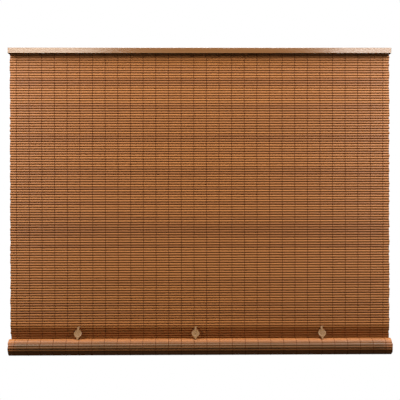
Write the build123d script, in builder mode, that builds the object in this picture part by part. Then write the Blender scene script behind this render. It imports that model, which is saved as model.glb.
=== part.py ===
from build123d import *
import os
from math import acos, atan, atan2, cos, degrees, pi, sin, sqrt

# Roll-up blind of woven vinyl slats, part rolled up and held by three leaf hooks.
# Origin: middle of the head rail's top face, which is screwed up under a lintel.
# +X is the viewer's right, -Y is towards the viewer, +Z is up. Millimetres.

# Slats: hollow vinyl extrusions, bevelled from a low ridge along each face to two thin edges
slat_length = 1524.0
slat_height = 9.9
slat_thickness = 3.4
slat_edge = 1.0
slat_wall = 0.55
slat_gap = 0.26
hanging_count = 108
rolled_count = 65

# Warp threads, twined round every slat
thread_count = 30
thread_pitch = 50.8
thread_width = 1.2
thread_thickness = 0.5
thread_clearance = 0.05
binding_thickness = 0.6
binding_bite = 0.25

# Head rail: a vinyl channel, slotted below, that the head batten slides into from one end
rail_overhang = 6.0
rail_depth = 24.0
rail_height = 22.0
rail_wall = 1.6
rail_shoulder_radius = 1.2
rail_lip_radius = 1.2
slot_clearance = 3.0
screw_hole_diameter = 4.5
screw_inset = 60.0
batten_thickness = 4.0
batten_side_clearance = 0.4
batten_end_clearance = 1.0

# End caps, pushed into the rail
cap_plate = 2.0
cap_plug_depth = 12.0
cap_plug_clearance = 0.2
cap_plug_wall = 2.0

# Hem tube at the heart of the roll, and its end plugs
hem_diameter = 25.4
hem_wall = 1.6
hem_plug_head = 2.0
hem_plug_depth = 14.0
hem_plug_rib = 2.4
hem_plug_clearance = 0.15

# The roll: how far its middle lies below and in front of the hooked slat, and how loosely it is wound
roll_drop = 75.7
roll_forward = 17.0
hem_clearance = 0.3
turn_clearance = 0.7
rolled_gap = 0.3

# Leaf hooks, each beside a warp thread counted from the left
hook_threads = (5, 14, 24)
hook_names = ("left", "middle", "right")
hook_offset_shares = (-0.14, 0.11, 0.09)
hook_thickness = 2.6
hook_clearance = 0.3
leaf_width = 32.0
leaf_length = 42.0
leaf_outline_shares = ((0.13, 0.0), (0.36, 0.11), (0.5, 0.4), (0.36, 0.7), (0.15, 0.86), (0.0, 1.0))
leaf_facets = 10
stem_width = 7.6
stem_length = 12.5
curl_reach = 8.4
curl_height = 4.4
curl_round_share = 0.4
tongue_width = 4.0
tongue_thickness = 1.2
tongue_drop = 7.0
vein_width = 1.3
vein_height = 0.5
vein_angle = 50.0
midrib_length_share = 0.8
vein_foot_shares = (0.2, 0.42)
vein_length_shares = (0.38, 0.38)
catch_width = 6.0
catch_thickness = 0.6

# Worked out from the sizes above
slat_pitch = slat_height + slat_gap
slot_width = slat_thickness + 2 * slot_clearance
curtain_top = rail_wall - rail_height
curtain_drop = (hanging_count - 1) * slat_pitch + slat_height
curtain_bottom = curtain_top - curtain_drop
rail_length = slat_length + 2 * rail_overhang
rail_body_length = rail_length - 2 * cap_plate
channel_depth = rail_depth - 2 * rail_wall
channel_height = rail_height - 2 * rail_wall
thread_face = slat_thickness / 2 + thread_clearance + thread_thickness
binding_x = thread_pitch / 2
hook_gap = tongue_thickness + 2 * hook_clearance + slat_edge / 2
winding_pitch = slat_thickness + turn_clearance

# Points of the end view, with y to the right and z up
hooked_edge = Vector(0, curtain_bottom - hook_gap)
roll_centre = Vector(-roll_forward, hooked_edge.Y - roll_drop)


def along(angle):
    """Unit vector of the end view at an angle from +y."""
    return Vector(cos(angle), sin(angle))


def wind():
    """Angle and distance from the roll's middle of each wound slat, from the hem tube outwards."""
    turns = []
    angle = 0
    distance = hem_diameter / 2 + hem_clearance + slat_thickness / 2
    for _ in range(rolled_count):
        half_step = atan((slat_height + rolled_gap) / 2 / (distance - slat_edge / 2))
        turns.append((angle + half_step, distance))
        angle += 2 * half_step
        distance += winding_pitch * half_step / pi
    return turns, angle


def leave_roll(distance):
    """Angle at which the slack band leaves the roll on its way up to the hooked edge."""
    to_hook = hooked_edge - roll_centre
    return atan2(to_hook.Y, to_hook.X) - acos(distance / to_hook.length)


# Wound slats turned so that the outermost one runs straight into the slack band
turns, end_angle = wind()
outer_distance = turns[-1][1]
slack_angle = leave_roll(outer_distance)
turns = [(angle + slack_angle - end_angle, distance) for angle, distance in turns]
leave_point = roll_centre + along(slack_angle) * outer_distance
slack_run = hooked_edge - leave_point
slack_count = int(slack_run.length / (slat_height + slat_gap / 2))
slack_pitch = slack_run.length / slack_count

# Centre and turn of each slat: the curtain from the top down, the roll from its heart outwards
curtain_chain = [
    (Vector(0, curtain_top - slat_height / 2 - i * slat_pitch), pi) for i in range(hanging_count)
]
roll_chain = [(roll_centre + along(angle) * distance, angle) for angle, distance in turns]
for i in range(1, slack_count + 1):
    from_roll = i * slack_pitch - slat_height / 2
    roll_chain.append((leave_point + slack_run.normalized() * from_roll, slack_angle))

# One slat's section, upright: two bevelled faces, two edges and the bore
with BuildSketch() as slat_section:
    top = slat_height / 2
    ridge = slat_thickness / 2
    edge = slat_edge / 2
    Polygon((edge, top), (-edge, top), (-ridge, 0), (-edge, -top), (edge, -top), (ridge, 0), align=None)
    bore_top = top - slat_wall
    bore_ridge = ridge - slat_wall
    Polygon((0, bore_top), (-bore_ridge, 0), (0, -bore_top), (bore_ridge, 0), align=None, mode=Mode.SUBTRACT)


def weave(chain):
    """A chain of slats as one piece, each bound to the next by the thread beside the middle."""
    with BuildPart() as cloth:
        with BuildSketch(Plane.YZ.offset(-slat_length / 2)):
            with Locations(*[Location((place.X, place.Y), degrees(turn)) for place, turn in chain]):
                add(slat_section.sketch)
        extrude(amount=slat_length)
        with BuildSketch(Plane.YZ.offset(binding_x - thread_width / 2)):
            for (place, turn), (next_place, next_turn) in zip(chain, chain[1:]):
                foot = place + along(turn + pi / 2) * (slat_height / 2)
                head = next_place - along(next_turn + pi / 2) * (slat_height / 2)
                tie = head - foot
                middle = (foot + head) / 2
                with Locations(Location((middle.X, middle.Y), degrees(atan2(tie.Y, tie.X)))):
                    Rectangle(tie.length + 2 * binding_bite, binding_thickness)
        extrude(amount=thread_width)
    return cloth


def rail_end_outline():
    """The rail's outside in the end view, for use inside a sketch block."""
    with BuildSketch(mode=Mode.PRIVATE) as outside:
        with Locations((0, -rail_height / 2)):
            Rectangle(rail_depth, rail_height)
        fillet(outside.vertices().group_by(Axis.Y)[-1], rail_shoulder_radius)
        fillet(outside.vertices().group_by(Axis.Y)[0], rail_lip_radius)
    return outside.sketch


# Head rail: a channel with lips turned in below, drilled through its top wall for screws
with BuildPart() as headrail:
    with BuildSketch(Plane.YZ.offset(-rail_body_length / 2)):
        add(rail_end_outline())
        with Locations((0, -rail_height / 2)):
            Rectangle(channel_depth, channel_height, mode=Mode.SUBTRACT)
        with Locations((0, -rail_height)):
            Rectangle(slot_width, 2 * rail_wall, mode=Mode.SUBTRACT)
    extrude(amount=rail_body_length)
    screw_x = rail_length / 2 - screw_inset
    with Locations((-screw_x, 0), (screw_x, 0)):
        Hole(screw_hole_diameter / 2, depth=2 * rail_wall)


def end_cap(side):
    """Plate over the rail's end, with a hollow plug inside the channel; side is -1 or 1."""
    with BuildPart() as cap:
        with BuildSketch(Plane.YZ.offset(side * rail_body_length / 2)):
            add(rail_end_outline())
        extrude(amount=side * cap_plate)
        with BuildSketch(Plane.YZ.offset(side * rail_body_length / 2)):
            plug_depth = channel_depth - 2 * cap_plug_clearance
            plug_height = channel_height - 2 * cap_plug_clearance
            with Locations((0, -rail_height / 2)):
                Rectangle(plug_depth, plug_height)
                Rectangle(plug_depth - 2 * cap_plug_wall, plug_height - 2 * cap_plug_wall, mode=Mode.SUBTRACT)
        extrude(amount=-side * cap_plug_depth)
    return cap


# Head batten: the flat bar that the warp threads hang from, lying on the rail's lips
with BuildPart() as head_batten:
    batten_length = rail_body_length - 2 * (cap_plug_depth + batten_end_clearance)
    with BuildSketch(Plane.YZ.offset(-batten_length / 2)):
        with Locations((0, curtain_top + batten_thickness / 2)):
            Rectangle(channel_depth - 2 * batten_side_clearance, batten_thickness)
    extrude(amount=batten_length)


def warp_threads(side):
    """The row of threads down one face of the hanging curtain; side is -1 in front, 1 behind."""
    with BuildPart() as threads:
        with BuildSketch(Plane.XY.offset(curtain_bottom)):
            with Locations((0, side * (thread_face - thread_thickness / 2))):
                with GridLocations(thread_pitch, thread_pitch, thread_count, 1):
                    Rectangle(thread_width, thread_thickness)
        extrude(amount=curtain_drop)
    return threads


# Hem tube, which the curtain is wound on
with BuildPart() as hem_tube:
    with BuildSketch(Plane.YZ.offset(-slat_length / 2)):
        with Locations((roll_centre.X, roll_centre.Y)):
            Circle(hem_diameter / 2)
            Circle(hem_diameter / 2 - hem_wall, mode=Mode.SUBTRACT)
    extrude(amount=slat_length)


def hem_plug(side):
    """Plug in the hem tube's end: crossed ribs under a flat head as wide as the tube; side is -1 or 1."""
    with BuildPart() as plug:
        with BuildSketch(Plane.YZ.offset(side * slat_length / 2)):
            with Locations((roll_centre.X, roll_centre.Y)):
                Circle(hem_diameter / 2)
        extrude(amount=side * hem_plug_head)
        bore_reach = hem_diameter / 2 - hem_wall - hem_plug_clearance
        rib_length = 2 * sqrt(bore_reach**2 - (hem_plug_rib / 2) ** 2)
        with BuildSketch(Plane.YZ.offset(side * slat_length / 2)):
            with Locations((roll_centre.X, roll_centre.Y)):
                Rectangle(rib_length, hem_plug_rib)
                Rectangle(hem_plug_rib, rib_length)
        extrude(amount=-side * hem_plug_depth)
    return plug


# Hook geometry in the end view: the tongue's level, the top of the plate's back, and its lean,
# which brings the leaf's tip down on the front of the roll's outermost turn
tongue_level = curtain_bottom - hook_clearance - tongue_thickness / 2
curl_top = Vector(-(thread_face + hook_clearance), tongue_level + curl_height / 2)
plate_drop = curl_height / 2 + stem_length + leaf_length


def lean_onto(radius):
    """Lean of a plate whose tip lies at this distance from the roll's middle."""
    to_roll = roll_centre - curl_top
    rise = to_roll.length**2 + plate_drop**2 - radius**2
    return acos(rise / (2 * to_roll.length * plate_drop)) - atan2(to_roll.X, -to_roll.Y)


def tip_angle(lean):
    """Direction of the plate's tip from the roll's middle."""
    tip = curl_top + Vector(-sin(lean), -cos(lean)) * plate_drop
    return atan2(tip.Y - roll_centre.Y, tip.X - roll_centre.X)


def nearest_gap(direction):
    """Angle and distance of the gap between two outermost slats that is closest to a direction."""
    gaps = [((a + b) / 2, (c + d) / 2) for (a, c), (b, d) in zip(turns, turns[1:])]
    last_turn = [gap for gap in gaps if gap[0] > gaps[-1][0] - 2 * pi]
    return min(last_turn, key=lambda gap: abs((gap[0] - direction + pi) % (2 * pi) - pi))


hook_seat = slat_thickness / 2 + hook_clearance
tip_gap = nearest_gap(tip_angle(lean_onto(outer_distance + hook_seat)))
lean = lean_onto(tip_gap[1] + hook_seat)
plate_front = Vector(-cos(lean), sin(lean))
plate_top = curl_top + Vector(-sin(lean), -cos(lean)) * (curl_height / 2)
catch_angle, gap_distance = nearest_gap(tip_angle(lean) - slat_pitch / outer_distance)
catch_foot = gap_distance + slat_edge / 2


def leaf_hook(x):
    """Moulded leaf with a stem, a curled tongue over the hooked slat and a catch in the roll."""
    back = Plane(
        origin=(x, plate_top.X, plate_top.Y), x_dir=(1, 0, 0), z_dir=(0, plate_front.X, plate_front.Y)
    )
    with BuildPart() as hook:
        with BuildSketch(back):
            with BuildLine():
                curve = Spline(
                    *[(w * leaf_width, -stem_length - l * leaf_length) for w, l in leaf_outline_shares],
                    mode=Mode.PRIVATE,
                )
                side = Polyline(*[curve @ (i / leaf_facets) for i in range(leaf_facets + 1)])
                mirror(side, about=Plane.YZ)
                Line(side @ 0, (-(side @ 0).X, (side @ 0).Y))
            make_face()
            with Locations((0, -(stem_length + stem_width / 2) / 2)):
                Rectangle(stem_width, stem_length + stem_width / 2)
            with Locations(((curl_reach - stem_width / 2) / 2, 0)):
                RectangleRounded(curl_reach + stem_width / 2, curl_height, curl_height * curl_round_share)
        extrude(amount=hook_thickness)
        # Raised midrib and side veins
        with BuildSketch(back.offset(hook_thickness)):
            with Locations((0, -stem_length - leaf_length * midrib_length_share / 2)):
                Rectangle(vein_width, leaf_length * midrib_length_share)
            for foot, length in zip(vein_foot_shares, vein_length_shares):
                for turn in (-vein_angle, vein_angle):
                    with Locations(Location((0, -stem_length - foot * leaf_length), turn)):
                        Rectangle(vein_width, length * leaf_width, align=(Align.CENTER, Align.MAX))
        extrude(amount=vein_height)
        # Tongue: back over the hooked slat's edge and down behind it
        outward = along(slack_angle)
        leg = hooked_edge + outward * (slat_thickness / 2 + hook_clearance + tongue_thickness / 2)
        rise = (tongue_level - leg.Y) / cos(slack_angle)
        bend = leg + along(slack_angle + pi / 2) * rise
        root = Vector(plate_top.X - hook_thickness / 2, tongue_level)
        with BuildSketch(Plane.YZ.offset(x + curl_reach - 1.5 * tongue_width)):
            with BuildLine():
                FilletPolyline(
                    (root.X, root.Y),
                    (bend.X, bend.Y),
                    tuple(bend - along(slack_angle + pi / 2) * tongue_drop)[:2],
                    radius=tongue_thickness,
                )
            trace(line_width=tongue_thickness)
        extrude(amount=tongue_width)
        # Catch: a blade behind the leaf that reaches between two slats of the roll
        spoke = along(catch_angle)
        to_plate = (plate_top - roll_centre).dot(plate_front) / spoke.dot(plate_front)
        catch_reach = to_plate + hook_thickness / 2 - catch_foot
        catch_middle = roll_centre + spoke * (catch_foot + catch_reach / 2)
        with BuildSketch(Plane.YZ.offset(x - catch_width / 2)):
            with Locations(Location((catch_middle.X, catch_middle.Y), degrees(catch_angle))):
                Rectangle(catch_reach, catch_thickness)
        extrude(amount=catch_width)
    return hook


hook_x = [
    (thread + share - (thread_count - 1) / 2) * thread_pitch
    for thread, share in zip(hook_threads, hook_offset_shares)
]
pieces = {
    "headrail": headrail,
    "end_cap_left": end_cap(-1),
    "end_cap_right": end_cap(1),
    "head_batten": head_batten,
    "curtain_slats": weave(curtain_chain),
    "warp_threads_front": warp_threads(-1),
    "warp_threads_back": warp_threads(1),
    "rolled_slats": weave(roll_chain),
    "hem_tube": hem_tube,
    "hem_plug_left": hem_plug(-1),
    "hem_plug_right": hem_plug(1),
}
for name, x in zip(hook_names, hook_x):
    pieces[f"leaf_hook_{name}"] = leaf_hook(x)

os.makedirs("parts", exist_ok=True)
for name, piece in pieces.items():
    piece.part.label = name
    export_step(piece.part, f"parts/{name}.step")
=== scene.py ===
import random
from math import acos, atan, atan2, cos, pi, radians, sin, sqrt

import bpy
from mathutils import Matrix, Vector


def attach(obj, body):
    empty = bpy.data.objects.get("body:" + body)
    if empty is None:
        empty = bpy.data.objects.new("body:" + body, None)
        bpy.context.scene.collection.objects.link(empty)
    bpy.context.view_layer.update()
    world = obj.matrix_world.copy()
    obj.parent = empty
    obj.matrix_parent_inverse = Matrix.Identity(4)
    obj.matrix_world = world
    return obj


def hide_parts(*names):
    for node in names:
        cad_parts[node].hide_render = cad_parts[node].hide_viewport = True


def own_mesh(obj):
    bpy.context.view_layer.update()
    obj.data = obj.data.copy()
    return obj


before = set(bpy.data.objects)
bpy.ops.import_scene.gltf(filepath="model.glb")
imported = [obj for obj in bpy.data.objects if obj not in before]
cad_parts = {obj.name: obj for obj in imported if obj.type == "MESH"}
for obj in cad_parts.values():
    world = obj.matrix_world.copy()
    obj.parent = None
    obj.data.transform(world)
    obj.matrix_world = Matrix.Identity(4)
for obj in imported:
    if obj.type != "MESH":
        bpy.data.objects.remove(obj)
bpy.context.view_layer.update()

# A roll-up blind of woven vinyl slats. Metres, in the part's own frame: +X right, -Y to the viewer, +Z up.
MM = 0.001

# Slats, threads and rail, as in the part's source
slat_length = 1524 * MM
slat_height = 9.9 * MM
slat_thickness = 3.4 * MM
slat_edge = 1.0 * MM
slat_wall = 0.55 * MM
slat_gap = 0.26 * MM
hanging_count = 108
rolled_count = 65
thread_count = 30
thread_pitch = 50.8 * MM
thread_thickness = 0.5 * MM
rail_height = 22 * MM
rail_wall = 1.6 * MM
curtain_top = rail_wall - rail_height
slat_pitch = slat_height + slat_gap
curtain_drop = (hanging_count - 1) * slat_pitch + slat_height
curtain_bottom = curtain_top - curtain_drop

# What the scene adds: slats that overlap a little and are fuller, round ridges, and yarn that spreads
slat_overlap = 0.3 * MM
slat_fullness = 1.0 * MM
slat_face = slat_pitch + slat_overlap
slat_crown = slat_thickness + slat_fullness
ridge_round = 0.9 * MM
edge_round = 0.4 * MM
thread_width = 1.7 * MM
smooth_angle = radians(50)

# Roll and slack band, as in the part's source
hem_diameter = 25.4 * MM
hem_clearance = 0.3 * MM
turn_clearance = 0.7 * MM
rolled_gap = 0.3 * MM
hook_gap = 2.3 * MM
roll_drop = 75.7 * MM
roll_forward = 17 * MM

# Leaf hooks, as in the part's source: lean of the plate and the middle of its top, each beside a thread
hook_threads = {"left": 5, "middle": 14, "right": 24}
hook_offset_shares = {"left": -0.14, "middle": 0.11, "right": 0.09}
hook_lean = radians(28.34)
hook_top = Vector((0, -3.59, -1118.06)) * MM
leaf_width = 32 * MM
stem_width = 7.6 * MM
curl_reach = 8.4 * MM
curl_height = 4.4 * MM
tongue_width = 4 * MM
tongue_thickness = 1.2 * MM
tongue_drop = 7 * MM
tongue_gap = 0.9 * MM
tongue_level = curtain_bottom - tongue_gap
catch_width = 6 * MM
catch_thickness = 0.6 * MM
catch_foot = 30.2 * MM
catch_head = 53 * MM
catch_angle = radians(90.42)

# Leaf and stem are together as long as in the part's source, with a little more of it in the stem
leaf_length = 39.5 * MM
stem_length = 15 * MM
bar_thickness = 2.4 * MM

# How unevenly the slats lie: shift of their ends, and of the threads from row to row
end_shift = 1.3 * MM
thread_shift = 0.8 * MM
chance = random.Random(11)

# The roll: how much painted shade lowers the tone of its wound slats, and a draw of tones chosen to put the
# darker ones in front, more painted shade
roll_painted_shade = 0.8
roll_seed = 1221

# Loops on the slack band's topmost slat: how far they stop short of its top, and how much fuller they are
loop_drop = 1.4 * MM
loop_fullness = 1.1


# Modelling by hand

def alone(piece=None):
    """Back to object mode, with only this piece selected."""
    if bpy.context.object and bpy.context.object.mode != "OBJECT":
        bpy.ops.object.mode_set(mode="OBJECT")
    bpy.ops.object.select_all(action="DESELECT")
    if piece:
        piece.select_set(True)
        bpy.context.view_layer.objects.active = piece


def pick(piece, test):
    """Into edit mode, with the corners selected whose place passes a test."""
    bpy.context.view_layer.objects.active = piece
    bpy.ops.object.mode_set(mode="EDIT")
    bpy.ops.mesh.select_mode(type="VERT")
    bpy.ops.mesh.select_all(action="DESELECT")
    bpy.ops.object.mode_set(mode="OBJECT")
    for corner in piece.data.vertices:
        corner.select = test(corner.co)
    bpy.ops.object.mode_set(mode="EDIT")


def settle(piece, name):
    """Name a piece, put its place into its mesh and leave edit mode."""
    alone(piece)
    bpy.ops.object.transform_apply(location=True, rotation=True, scale=True)
    piece.name = piece.data.name = name
    return piece


def apply_modifier(piece, kind, **settings):
    """Add a modifier to a piece and apply it."""
    alone(piece)
    modifier = piece.modifiers.new(kind.lower(), kind)
    for name, value in settings.items():
        setattr(modifier, name, value)
    bpy.ops.object.modifier_apply(modifier=modifier.name)


def joined(parts, name):
    """Several pieces as one."""
    alone(parts[0])
    for part in parts:
        part.select_set(True)
    bpy.ops.object.join()
    return settle(parts[0], name)


def copied(piece, place):
    """A copy of a piece with a mesh of its own, moved into place."""
    copy = piece.copy()
    copy.data = piece.data.copy()
    copy.data.transform(place)
    bpy.context.scene.collection.objects.link(copy)
    return copy


# The roll's end view: where each slat lies

def along(angle):
    """Unit vector of the end view at an angle from +y."""
    return Vector((cos(angle), sin(angle)))


def slat_chains():
    """Place and turn of each slat of the hanging curtain, and of the roll with its slack band.

    The slack band reaches up to the curtain's last slat, because the photo shows no opening there.
    """
    hanging = [
        (Vector((0, curtain_top - slat_height / 2 - i * slat_pitch)), pi) for i in range(hanging_count)
    ]
    turns = []
    angle = 0
    distance = hem_diameter / 2 + hem_clearance + slat_thickness / 2
    for _ in range(rolled_count):
        half_step = atan((slat_height + rolled_gap) / 2 / (distance - slat_edge / 2))
        turns.append((angle + half_step, distance))
        angle += 2 * half_step
        distance += (slat_thickness + turn_clearance) * half_step / pi
    hooked_edge = Vector((0, curtain_bottom - hook_gap))
    roll_centre = hooked_edge + Vector((-roll_forward, -roll_drop))
    to_hook = hooked_edge - roll_centre
    outer = turns[-1][1]
    slack_angle = atan2(to_hook.y, to_hook.x) - acos(outer / to_hook.length)
    shift = slack_angle - angle
    rolled = [(roll_centre + along(a + shift) * d, a + shift) for a, d in turns]
    leave = roll_centre + along(slack_angle) * outer
    run = Vector((0, curtain_bottom)) - leave
    slack_count = int(run.length / slat_pitch)
    slack_pitch = run.length / slack_count
    for i in range(1, slack_count + 1):
        rolled.append((leave + run.normalized() * (i - 0.5) * slack_pitch, slack_angle))
    return hanging, rolled, roll_centre, slack_angle


def seated(place, turn, shift=0.0):
    """Matrix that turns a slat in the end view and puts it in its place."""
    return Matrix.Translation((shift, place.x, place.y)) @ Matrix.Rotation(turn, 4, "X")


# Slats

def slat_blank():
    """One slat at the origin: a hollow strip with a soft ridge along each face and round edges.

    It is a little higher than the slats are apart, because no light shows between them.
    """
    alone()
    bpy.ops.mesh.primitive_cylinder_add(
        vertices=6, radius=1, depth=slat_length, end_fill_type="NOTHING", rotation=(0, pi / 2, 0)
    )
    slat = settle(bpy.context.object, "slat_blank")
    pick(slat, lambda p: True)
    bpy.ops.transform.resize(value=(1, slat_crown / 2, slat_face / 2 / sin(pi / 3)))
    pick(slat, lambda p: abs(p.z) > slat_height / 4)
    bpy.ops.transform.resize(value=(1, 2 * slat_edge / slat_crown, 1))
    pick(slat, lambda p: abs(p.z) < slat_height / 4)
    bpy.ops.mesh.bevel(offset=ridge_round, segments=2, affect="EDGES")
    pick(slat, lambda p: abs(p.z) > slat_height * 0.45)
    bpy.ops.mesh.bevel(offset=edge_round, segments=2, affect="EDGES")
    apply_modifier(slat, "SOLIDIFY", thickness=slat_wall, offset=-1, use_rim=True)
    bpy.ops.object.shade_smooth_by_angle(angle=smooth_angle)
    return slat


def woven_slats(chain, name, painted_shade_count=0):
    """A chain of slats, each shifted a little along its length and with its own tone.

    Those that are wound on the roll come first, and get a lower tone, painted shade that darkens the roll.
    """
    blank = slat_blank()
    slats = []
    for i, (place, turn) in enumerate(chain):
        slat = copied(blank, seated(place, turn, chance.uniform(-end_shift, end_shift)))
        tone = slat.data.attributes.new("slat_tone", "FLOAT", "POINT")
        # Wound slats get a lower tone: painted shade on the roll
        value = chance.random() - (roll_painted_shade if i < painted_shade_count else 0)
        tone.data.foreach_set("value", [value] * len(slat.data.vertices))
        slats.append(slat)
    bpy.data.objects.remove(blank)
    return joined(slats, name)


# Warp threads

def thread_row():
    """A row of thread loops, each drawn round the slat at the origin."""
    ring_share = 0.1
    alone()
    bpy.ops.mesh.primitive_torus_add(
        major_segments=6,
        minor_segments=4,
        major_radius=1,
        minor_radius=ring_share,
        rotation=(pi / 2, 0, pi / 2),
    )
    loop = settle(bpy.context.object, "thread_row")
    reach = (slat_crown + thread_thickness) / 2
    top = slat_height / 2 + slat_gap / 4
    pick(loop, lambda p: True)
    bpy.ops.transform.resize(value=(thread_width / 2 / ring_share, reach, top / sin(pi / 3)))
    pick(loop, lambda p: abs(p.z) > slat_height / 4)
    bpy.ops.transform.resize(value=(1, (slat_edge + thread_thickness) / reach, 1))
    bpy.ops.object.mode_set(mode="OBJECT")
    bpy.ops.object.shade_smooth()
    apply_modifier(
        loop,
        "ARRAY",
        count=thread_count,
        use_relative_offset=False,
        use_constant_offset=True,
        constant_offset_displace=(thread_pitch, 0, 0),
    )
    loop.data.transform(Matrix.Translation((-(thread_count - 1) / 2 * thread_pitch, 0, 0)))
    return loop


def twined_threads(chain, name, last_shape=Matrix.Identity(4)):
    """The thread loops of a chain of slats, row by row; those of the last slat can have another shape."""
    row = thread_row()
    seats = [seated(place, turn, chance.uniform(-thread_shift, thread_shift)) for place, turn in chain]
    seats[-1] = seats[-1] @ last_shape
    rows = [copied(row, seat) for seat in seats]
    bpy.data.objects.remove(row)
    return joined(rows, name)


# Leaf hooks

def leaf_half_width(share):
    """Half the leaf's width at a share of its length: an egg shape drawn out into a narrow tip."""
    egg_share = 0.8
    broad_top = 0.85
    fullness = 0.6
    tip_share = 0.33
    least_share = 0.03
    body = 0.5 * sin(pi * min(share / egg_share, 1) ** broad_top) ** fullness
    tip = tip_share * sqrt(1 - share)
    return max(body, tip, least_share) * leaf_width


def leaf_share(level):
    """Share of the leaf's length at a level of the hook's own frame."""
    return min(max((-level - stem_length) / leaf_length, 0), 1)


def leaf_blade():
    """The leaf in the hook's own frame: a plate with a raised rim round a sunken middle."""
    columns = 12
    rows = 18
    thickness = 2.2 * MM
    rim_share = 0.68
    sunk_from_share = 0.06
    sunk_to_share = 0.6
    sunk = 0.8 * MM
    alone()
    bpy.ops.mesh.primitive_grid_add(
        x_subdivisions=columns, y_subdivisions=rows, size=1, rotation=(pi / 2, 0, 0)
    )
    leaf = settle(bpy.context.object, "leaf_blade")
    for row in range(rows + 1):
        share = row / rows
        pick(leaf, lambda p: abs(p.z - 0.5 + share) < 0.2 / rows)
        bpy.ops.transform.resize(value=(2 * leaf_half_width(share), 1, 1))
    pick(leaf, lambda p: True)
    bpy.ops.transform.resize(value=(1, 1, leaf_length))
    bpy.ops.transform.translate(value=(0, 0, -stem_length - leaf_length / 2))
    apply_modifier(leaf, "SOLIDIFY", thickness=thickness, offset=1)

    def inside_rim(p):
        share = leaf_share(p.z)
        in_front = p.y < -thickness / 2
        in_reach = sunk_from_share < share < sunk_to_share
        return in_front and in_reach and abs(p.x) < rim_share * leaf_half_width(share)

    pick(leaf, inside_rim)
    bpy.ops.transform.translate(value=(0, sunk, 0))
    apply_modifier(leaf, "SUBSURF", levels=2, render_levels=2)
    return leaf


def leaf_vein(length, foot_share, turn):
    """A tapered rib on the leaf's face, from its middle line outwards and down."""
    end_radius = 0.4 * MM
    foot_radius = 0.75 * MM
    face = -1.7 * MM
    alone()
    bpy.ops.mesh.primitive_cone_add(
        vertices=8, radius1=end_radius, radius2=foot_radius, depth=length, location=(0, 0, -length / 2)
    )
    vein = settle(bpy.context.object, "leaf_vein")
    place = Matrix.Translation((0, face, -stem_length - foot_share * leaf_length))
    vein.data.transform(place @ Matrix.Rotation(turn, 4, "Y"))
    return vein


def rounded_bar(size, place):
    """A box with rounded edges, put into place."""
    round_share = 0.35
    alone()
    bpy.ops.mesh.primitive_cube_add(size=1)
    bar = settle(bpy.context.object, "rounded_bar")
    pick(bar, lambda p: True)
    bpy.ops.transform.resize(value=size)
    bpy.ops.mesh.bevel(offset=min(size) * round_share, segments=2, affect="EDGES")
    bpy.ops.object.mode_set(mode="OBJECT")
    bar.data.transform(place)
    return bar


def end_view_bar(start, end, width, thickness, middle_x=0.0):
    """A bar between two points of the end view."""
    run = end - start
    middle = (start + end) / 2
    return rounded_bar(
        (width, thickness, run.length + thickness),
        Matrix.Translation((middle_x, middle.x, middle.y)) @ Matrix.Rotation(-atan2(run.x, run.y), 4, "X"),
    )


def leaf_hook():
    """One hook at the middle of the blind: leaf, veins, stem, curl, tongue behind the band, and catch."""
    midrib_share = 0.66
    vein_foot_shares = (0.1, 0.28, 0.44)
    vein_share = 0.5
    vein_loss = 0.3
    vein_turn = radians(52)
    stem_start = 2 * MM
    curl_start = 1.6 * MM
    curl_share = 0.7
    curl_tilt = -0.16
    tongue_root = 1.3 * MM
    tongue_bend = 2.36 * MM
    voxel = 0.4 * MM
    seat = Matrix.Translation(hook_top) @ Matrix.Rotation(-hook_lean, 4, "X")
    flat = [
        leaf_blade(),
        leaf_vein(midrib_share * leaf_length, 0.0, 0.0),
        rounded_bar(
            (stem_width, bar_thickness, stem_length),
            Matrix.Translation((0, -bar_thickness / 2, -stem_length / 2 - stem_start)),
        ),
        rounded_bar(
            (curl_reach + stem_width / 2, bar_thickness, curl_share * curl_height),
            Matrix.Translation(((curl_reach - stem_width / 2) / 2, -bar_thickness / 2, -curl_start))
            @ Matrix.Rotation(curl_tilt, 4, "Y"),
        ),
    ]
    for foot_share in vein_foot_shares:
        for side in (-1, 1):
            reach = (vein_share - vein_loss * foot_share) * leaf_width
            flat.append(leaf_vein(reach, foot_share, side * vein_turn))
    for part in flat:
        part.data.transform(seat)
    slack_down = Vector((sin(slack_angle), -cos(slack_angle)))
    root = Vector((hook_top.y - tongue_root, tongue_level))
    bend = Vector((tongue_bend, tongue_level))
    tongue_x = curl_reach - tongue_width
    tongue = [
        end_view_bar(root, bend, tongue_width, tongue_thickness, tongue_x),
        end_view_bar(bend, bend + slack_down * tongue_drop, tongue_width, tongue_thickness, tongue_x),
    ]
    hook = joined(flat + tongue, "leaf_hook")
    apply_modifier(hook, "REMESH", mode="VOXEL", voxel_size=voxel)
    apply_modifier(hook, "SMOOTH", factor=0.5, iterations=3)
    spoke = along(catch_angle)
    catch = end_view_bar(
        roll_centre + spoke * catch_foot, roll_centre + spoke * catch_head, catch_width, catch_thickness
    )
    hook = joined([hook, catch], "leaf_hook")
    alone(hook)
    bpy.ops.object.shade_smooth_by_angle(angle=smooth_angle)
    return hook


# Materials

def colour(code):
    """Linear colour of an sRGB hex value."""
    channels = [int(code[i : i + 2], 16) / 255 for i in (1, 3, 5)]
    linear = [c / 12.92 if c <= 0.04045 else ((c + 0.055) / 1.055) ** 2.4 for c in channels]
    return (*linear, 1.0)


def per(size):
    """Texture scale at which one cell of a pattern is this many millimetres wide."""
    return 1 / (size * MM)


def add_node(tree, kind, inputs=None, **settings):
    """A node with its settings; inputs are values, or outputs of other nodes to link."""
    made = tree.nodes.new(kind)
    for name, value in settings.items():
        setattr(made, name, value)
    for name, value in (inputs or {}).items():
        if isinstance(value, bpy.types.NodeSocket):
            tree.links.new(value, made.inputs[name])
        else:
            made.inputs[name].default_value = value
    return made


def new_material(name):
    """An empty node material."""
    material = bpy.data.materials.new(name)
    material.use_nodes = True
    material.node_tree.nodes.clear()
    return material, material.node_tree


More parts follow.
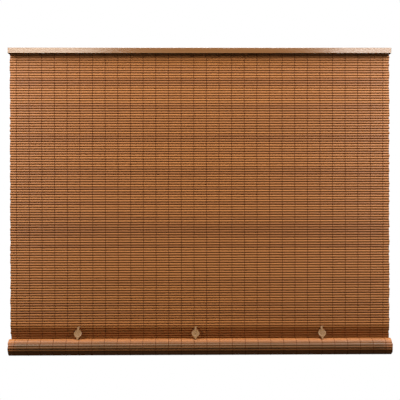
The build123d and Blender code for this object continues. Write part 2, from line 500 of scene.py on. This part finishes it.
def satin_slat_vinyl():
    """Extruded PVC with a satin face: warm brown, fine draw lines along the slat, slats a shade apart.

    The slats wound on the roll get a lower tone, painted shade, and the ends are painted lighter, a painted
    highlight for light that catches them.
    The draw lines are wider than real ones, so that they show.
    """
    painted_edge_light_length = 40 * MM
    material, tree = new_material("satin_extruded_pvc")
    place = add_node(tree, "ShaderNodeTexCoord").outputs["Object"]
    lines = add_node(
        tree, "ShaderNodeMapping", {"Vector": place, "Scale": (per(150), per(1.2), per(1.2))}
    ).outputs["Vector"]
    draw_lines = add_node(
        tree, "ShaderNodeTexNoise", {"Vector": lines, "Scale": 1.0, "Detail": 2.0, "Roughness": 0.55}
    ).outputs["Fac"]
    tone = add_node(tree, "ShaderNodeAttribute", attribute_name="slat_tone").outputs["Fac"]
    shade = add_node(
        tree, "ShaderNodeMath", {0: tone, 1: 0.55, 2: draw_lines}, operation="MULTIPLY_ADD"
    ).outputs["Value"]
    across = add_node(tree, "ShaderNodeSeparateXYZ", {"Vector": place}).outputs["X"]
    from_middle = add_node(tree, "ShaderNodeMath", {0: across}, operation="ABSOLUTE").outputs["Value"]
    # Lighter towards the slats' ends: painted highlight for light that catches the ends
    painted_edge_light = add_node(
        tree,
        "ShaderNodeMapRange",
        {
            "Value": from_middle,
            "From Min": slat_length / 2 - painted_edge_light_length,
            "From Max": slat_length / 2,
            "To Max": 0.35,
        },
    ).outputs["Result"]
    shade = add_node(tree, "ShaderNodeMath", {0: shade, 1: painted_edge_light}, operation="ADD").outputs["Value"]
    ramp = add_node(tree, "ShaderNodeValToRGB", {"Fac": shade})
    ramp.color_ramp.elements[0].position = 0.0
    ramp.color_ramp.elements[0].color = colour("#5e3e1a")
    ramp.color_ramp.elements[1].position = 1.0
    ramp.color_ramp.elements[1].color = colour("#aa6a31")
    middle = ramp.color_ramp.elements.new(0.35)
    middle.color = colour("#834c1e")
    bump = add_node(
        tree, "ShaderNodeBump", {"Height": draw_lines, "Strength": 0.25, "Distance": 0.1 * MM}
    ).outputs["Normal"]
    surface = add_node(
        tree,
        "ShaderNodeBsdfPrincipled",
        {
            "Base Color": ramp.outputs["Color"],
            "Roughness": 0.5,
            "Specular IOR Level": 0.45,
            "Normal": bump,
        },
    )
    add_node(tree, "ShaderNodeOutputMaterial", {"Surface": surface.outputs["BSDF"]})
    return material


def dark_thread():
    """Twisted polyester: dark brown and dull, with the twist as slanting bands.

    The bands are about 10 mm apart, coarser than real twist, so that they show.
    """
    material, tree = new_material("twisted_polyester")
    place = add_node(tree, "ShaderNodeTexCoord").outputs["Object"]
    twist = add_node(
        tree,
        "ShaderNodeTexWave",
        {"Vector": place, "Scale": per(0.8) / 20, "Distortion": 1.0},
        wave_type="BANDS",
        bands_direction="DIAGONAL",
    ).outputs["Fac"]
    ramp = add_node(tree, "ShaderNodeValToRGB", {"Fac": twist})
    ramp.color_ramp.elements[0].color = colour("#4a260f")
    ramp.color_ramp.elements[1].color = colour("#6c3b19")
    surface = add_node(
        tree,
        "ShaderNodeBsdfPrincipled",
        {"Base Color": ramp.outputs["Color"], "Roughness": 0.85, "Specular IOR Level": 0.1},
    )
    add_node(tree, "ShaderNodeOutputMaterial", {"Surface": surface.outputs["BSDF"]})
    return material


def glossy_rail_vinyl():
    """Extruded PVC left glossy from the die: brown, mirror-like at a slant, with faint waves along it."""
    material, tree = new_material("glossy_extruded_pvc")
    place = add_node(tree, "ShaderNodeTexCoord").outputs["Object"]
    lines = add_node(
        tree, "ShaderNodeMapping", {"Vector": place, "Scale": (per(600), per(5), per(5))}
    ).outputs["Vector"]
    waves = add_node(
        tree, "ShaderNodeTexNoise", {"Vector": lines, "Scale": 1.0, "Detail": 2.0, "Roughness": 0.5}
    ).outputs["Fac"]
    ramp = add_node(tree, "ShaderNodeValToRGB", {"Fac": waves})
    ramp.color_ramp.elements[0].position = 0.3
    ramp.color_ramp.elements[0].color = colour("#8c5d34")
    ramp.color_ramp.elements[1].position = 0.7
    ramp.color_ramp.elements[1].color = colour("#966840")
    coat = {"Coat Weight": 1.0, "Coat Roughness": 0.2, "Coat IOR": 1.6}
    surface = add_node(
        tree,
        "ShaderNodeBsdfPrincipled",
        {"Base Color": ramp.outputs["Color"], "Roughness": 0.2, "IOR": 1.54, **coat},
    )
    add_node(tree, "ShaderNodeOutputMaterial", {"Surface": surface.outputs["BSDF"]})
    return material


def plain_vinyl(name, dark, light):
    """Plain PVC of the hidden pieces and the hooks: an even, half dull brown with faint lines along it."""
    material, tree = new_material(name)
    place = add_node(tree, "ShaderNodeTexCoord").outputs["Object"]
    lines = add_node(
        tree, "ShaderNodeMapping", {"Vector": place, "Scale": (per(60), per(1.5), per(1.5))}
    ).outputs["Vector"]
    grain = add_node(
        tree, "ShaderNodeTexNoise", {"Vector": lines, "Scale": 1.0, "Detail": 2.0, "Roughness": 0.5}
    ).outputs["Fac"]
    ramp = add_node(tree, "ShaderNodeValToRGB", {"Fac": grain})
    ramp.color_ramp.elements[0].color = colour(dark)
    ramp.color_ramp.elements[1].color = colour(light)
    surface = add_node(
        tree,
        "ShaderNodeBsdfPrincipled",
        {"Base Color": ramp.outputs["Color"], "Roughness": 0.5, "IOR": 1.53},
    )
    add_node(tree, "ShaderNodeOutputMaterial", {"Surface": surface.outputs["BSDF"]})
    return material


def dress(piece, material):
    """Give a piece one material."""
    piece.data.materials.clear()
    piece.data.materials.append(material)


slat_vinyl = satin_slat_vinyl()
thread_yarn = dark_thread()
rail_vinyl = glossy_rail_vinyl()
batten_vinyl = plain_vinyl("batten_pvc", "#6b4022", "#83522c")
hem_vinyl = plain_vinyl("hem_tube_pvc", "#5c361c", "#744626")
hook_plastic = plain_vinyl("moulded_hook_plastic", "#704b20", "#865e2b")

# Hanging curtain and roll
hanging_chain, rolled_chain, roll_centre, slack_angle = slat_chains()
curtain = woven_slats(hanging_chain, "hanging_curtain")
curtain_threads = twined_threads(hanging_chain, "curtain_threads")
# The roll's tones come from a seed chosen to put the darker slats in front, and are lowered: painted shade
chance.seed(roll_seed)
roll = woven_slats(rolled_chain, "rolled_curtain", painted_shade_count=rolled_count)
# The topmost loops stop short of their slat's top, clear of the curtain that gathers above them
short_loop = Matrix.Translation((0, 0, -loop_drop / 2)) @ Matrix.Diagonal(
    (1, loop_fullness, 1 - loop_drop / slat_height, 1)
)
roll_threads = twined_threads(rolled_chain, "rolled_threads", short_loop)

dress(curtain, slat_vinyl)
dress(roll, slat_vinyl)
dress(curtain_threads, thread_yarn)
dress(roll_threads, thread_yarn)
for piece in (curtain, curtain_threads):
    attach(piece, "rail")
for piece in (roll, roll_threads):
    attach(piece, "roll")
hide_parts("curtain_slats")
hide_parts("warp_threads_front", "warp_threads_back")
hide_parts("rolled_slats")

# The curtain and its threads get meshes of their own
for piece in (curtain, curtain_threads):
    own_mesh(piece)

# Pieces kept as the part has them
for name in ("headrail", "end_cap_left", "end_cap_right"):
    dress(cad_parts[name], rail_vinyl)
dress(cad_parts["head_batten"], batten_vinyl)
for name in ("hem_tube", "hem_plug_left", "hem_plug_right"):
    dress(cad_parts[name], hem_vinyl)

# Leaf hooks
blank_hook = leaf_hook()
for name, thread in hook_threads.items():
    hook_x = (thread + hook_offset_shares[name] - (thread_count - 1) / 2) * thread_pitch
    hook = copied(blank_hook, Matrix.Translation((hook_x, 0, 0)))
    hook.name = hook.data.name = f"moulded_hook_{name}"
    dress(hook, hook_plastic)
    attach(hook, "roll")
    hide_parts(f"leaf_hook_{name}")
bpy.data.objects.remove(blank_hook)


# Studio

def soft_box(name, place, target, width, height, power, tint=(1, 1, 1), spread=180):
    """A soft light at a place, turned to a target, with a grid that narrows its beam if need be."""
    lamp = bpy.data.lights.new(name, "AREA")
    lamp.shape = "RECTANGLE"
    lamp.size = width
    lamp.size_y = height
    lamp.energy = power
    lamp.color = tint
    lamp.spread = radians(spread)
    light = bpy.data.objects.new(name, lamp)
    light.location = place
    light.rotation_mode = "QUATERNION"
    light.rotation_quaternion = (Vector(target) - Vector(place)).to_track_quat("-Z", "Y")
    bpy.context.scene.collection.objects.link(light)


def white_surroundings():
    """White where the camera sees past the object, and a low grey light from all round."""
    world = bpy.data.worlds.new("studio")
    world.use_nodes = True
    tree = world.node_tree
    tree.nodes.clear()
    seen = add_node(tree, "ShaderNodeLightPath").outputs["Is Camera Ray"]
    white = add_node(
        tree, "ShaderNodeBackground", {"Color": (1, 1, 1, 1), "Strength": 1.0}
    ).outputs["Background"]
    low = add_node(
        tree, "ShaderNodeBackground", {"Color": (1, 1, 1, 1), "Strength": 0.03}
    ).outputs["Background"]
    both = add_node(tree, "ShaderNodeMixShader", {"Fac": seen, 1: low, 2: white}).outputs["Shader"]
    add_node(tree, "ShaderNodeOutputWorld", {"Surface": both})
    bpy.context.scene.world = world


def photo_camera():
    """The photograph's view: level, a little left of the middle and turned a little to the right."""
    place = (-0.029, -2.8, -0.6)
    turn = radians(-0.575)
    tilt = radians(89.8)
    lean = radians(-0.1)
    camera = bpy.data.objects.new("photo_camera", bpy.data.cameras.new("photo_camera"))
    camera.data.sensor_width = 36
    camera.data.lens = 62.65
    camera.matrix_world = (
        Matrix.Translation(place)
        @ Matrix.Rotation(turn, 4, "Z")
        @ Matrix.Rotation(tilt, 4, "X")
        @ Matrix.Rotation(lean, 4, "Z")
    )
    bpy.context.scene.collection.objects.link(camera)
    bpy.context.scene.camera = camera


# Soft boxes high at the sides, a weak warm one for what a floor throws back, one above and one behind
soft_box("left_light", (-2.4, -0.9, 1.7), (0, 0, -1.0), width=1.2, height=1.2, power=160)
soft_box("right_light", (2.4, -0.9, 1.7), (0, 0, -1.0), width=1.2, height=1.2, power=160)
soft_box("floor_bounce", (0, -1.0, -2.6), (0, 0, -1.1), width=2.4, height=1, power=2.6, tint=(1, 0.8, 0.55))
soft_box("top_light", (0, -0.5, 2.4), (0, 0, -1.1), width=2.4, height=0.4, power=60)
soft_box("back_light", (0, 2.4, 2.2), (0, 0, -0.6), width=2, height=1.5, power=80)
# Two narrow boxes beside the camera are mirrored in the rail's ends
soft_box(
    "left_rail_light",
    (-1.25, -2.8, 0.6),
    (-0.6, 0, 0),
    width=1.0,
    height=0.2,
    power=0.36,
    tint=(1, 0.93, 0.8),
    spread=40,
)
soft_box(
    "right_rail_light",
    (1.45, -2.8, 0.6),
    (0.7, 0, 0),
    width=0.7,
    height=0.2,
    power=0.26,
    tint=(1, 0.97, 0.9),
    spread=40,
)
white_surroundings()
photo_camera()
bpy.context.scene.view_settings.view_transform = "Standard"
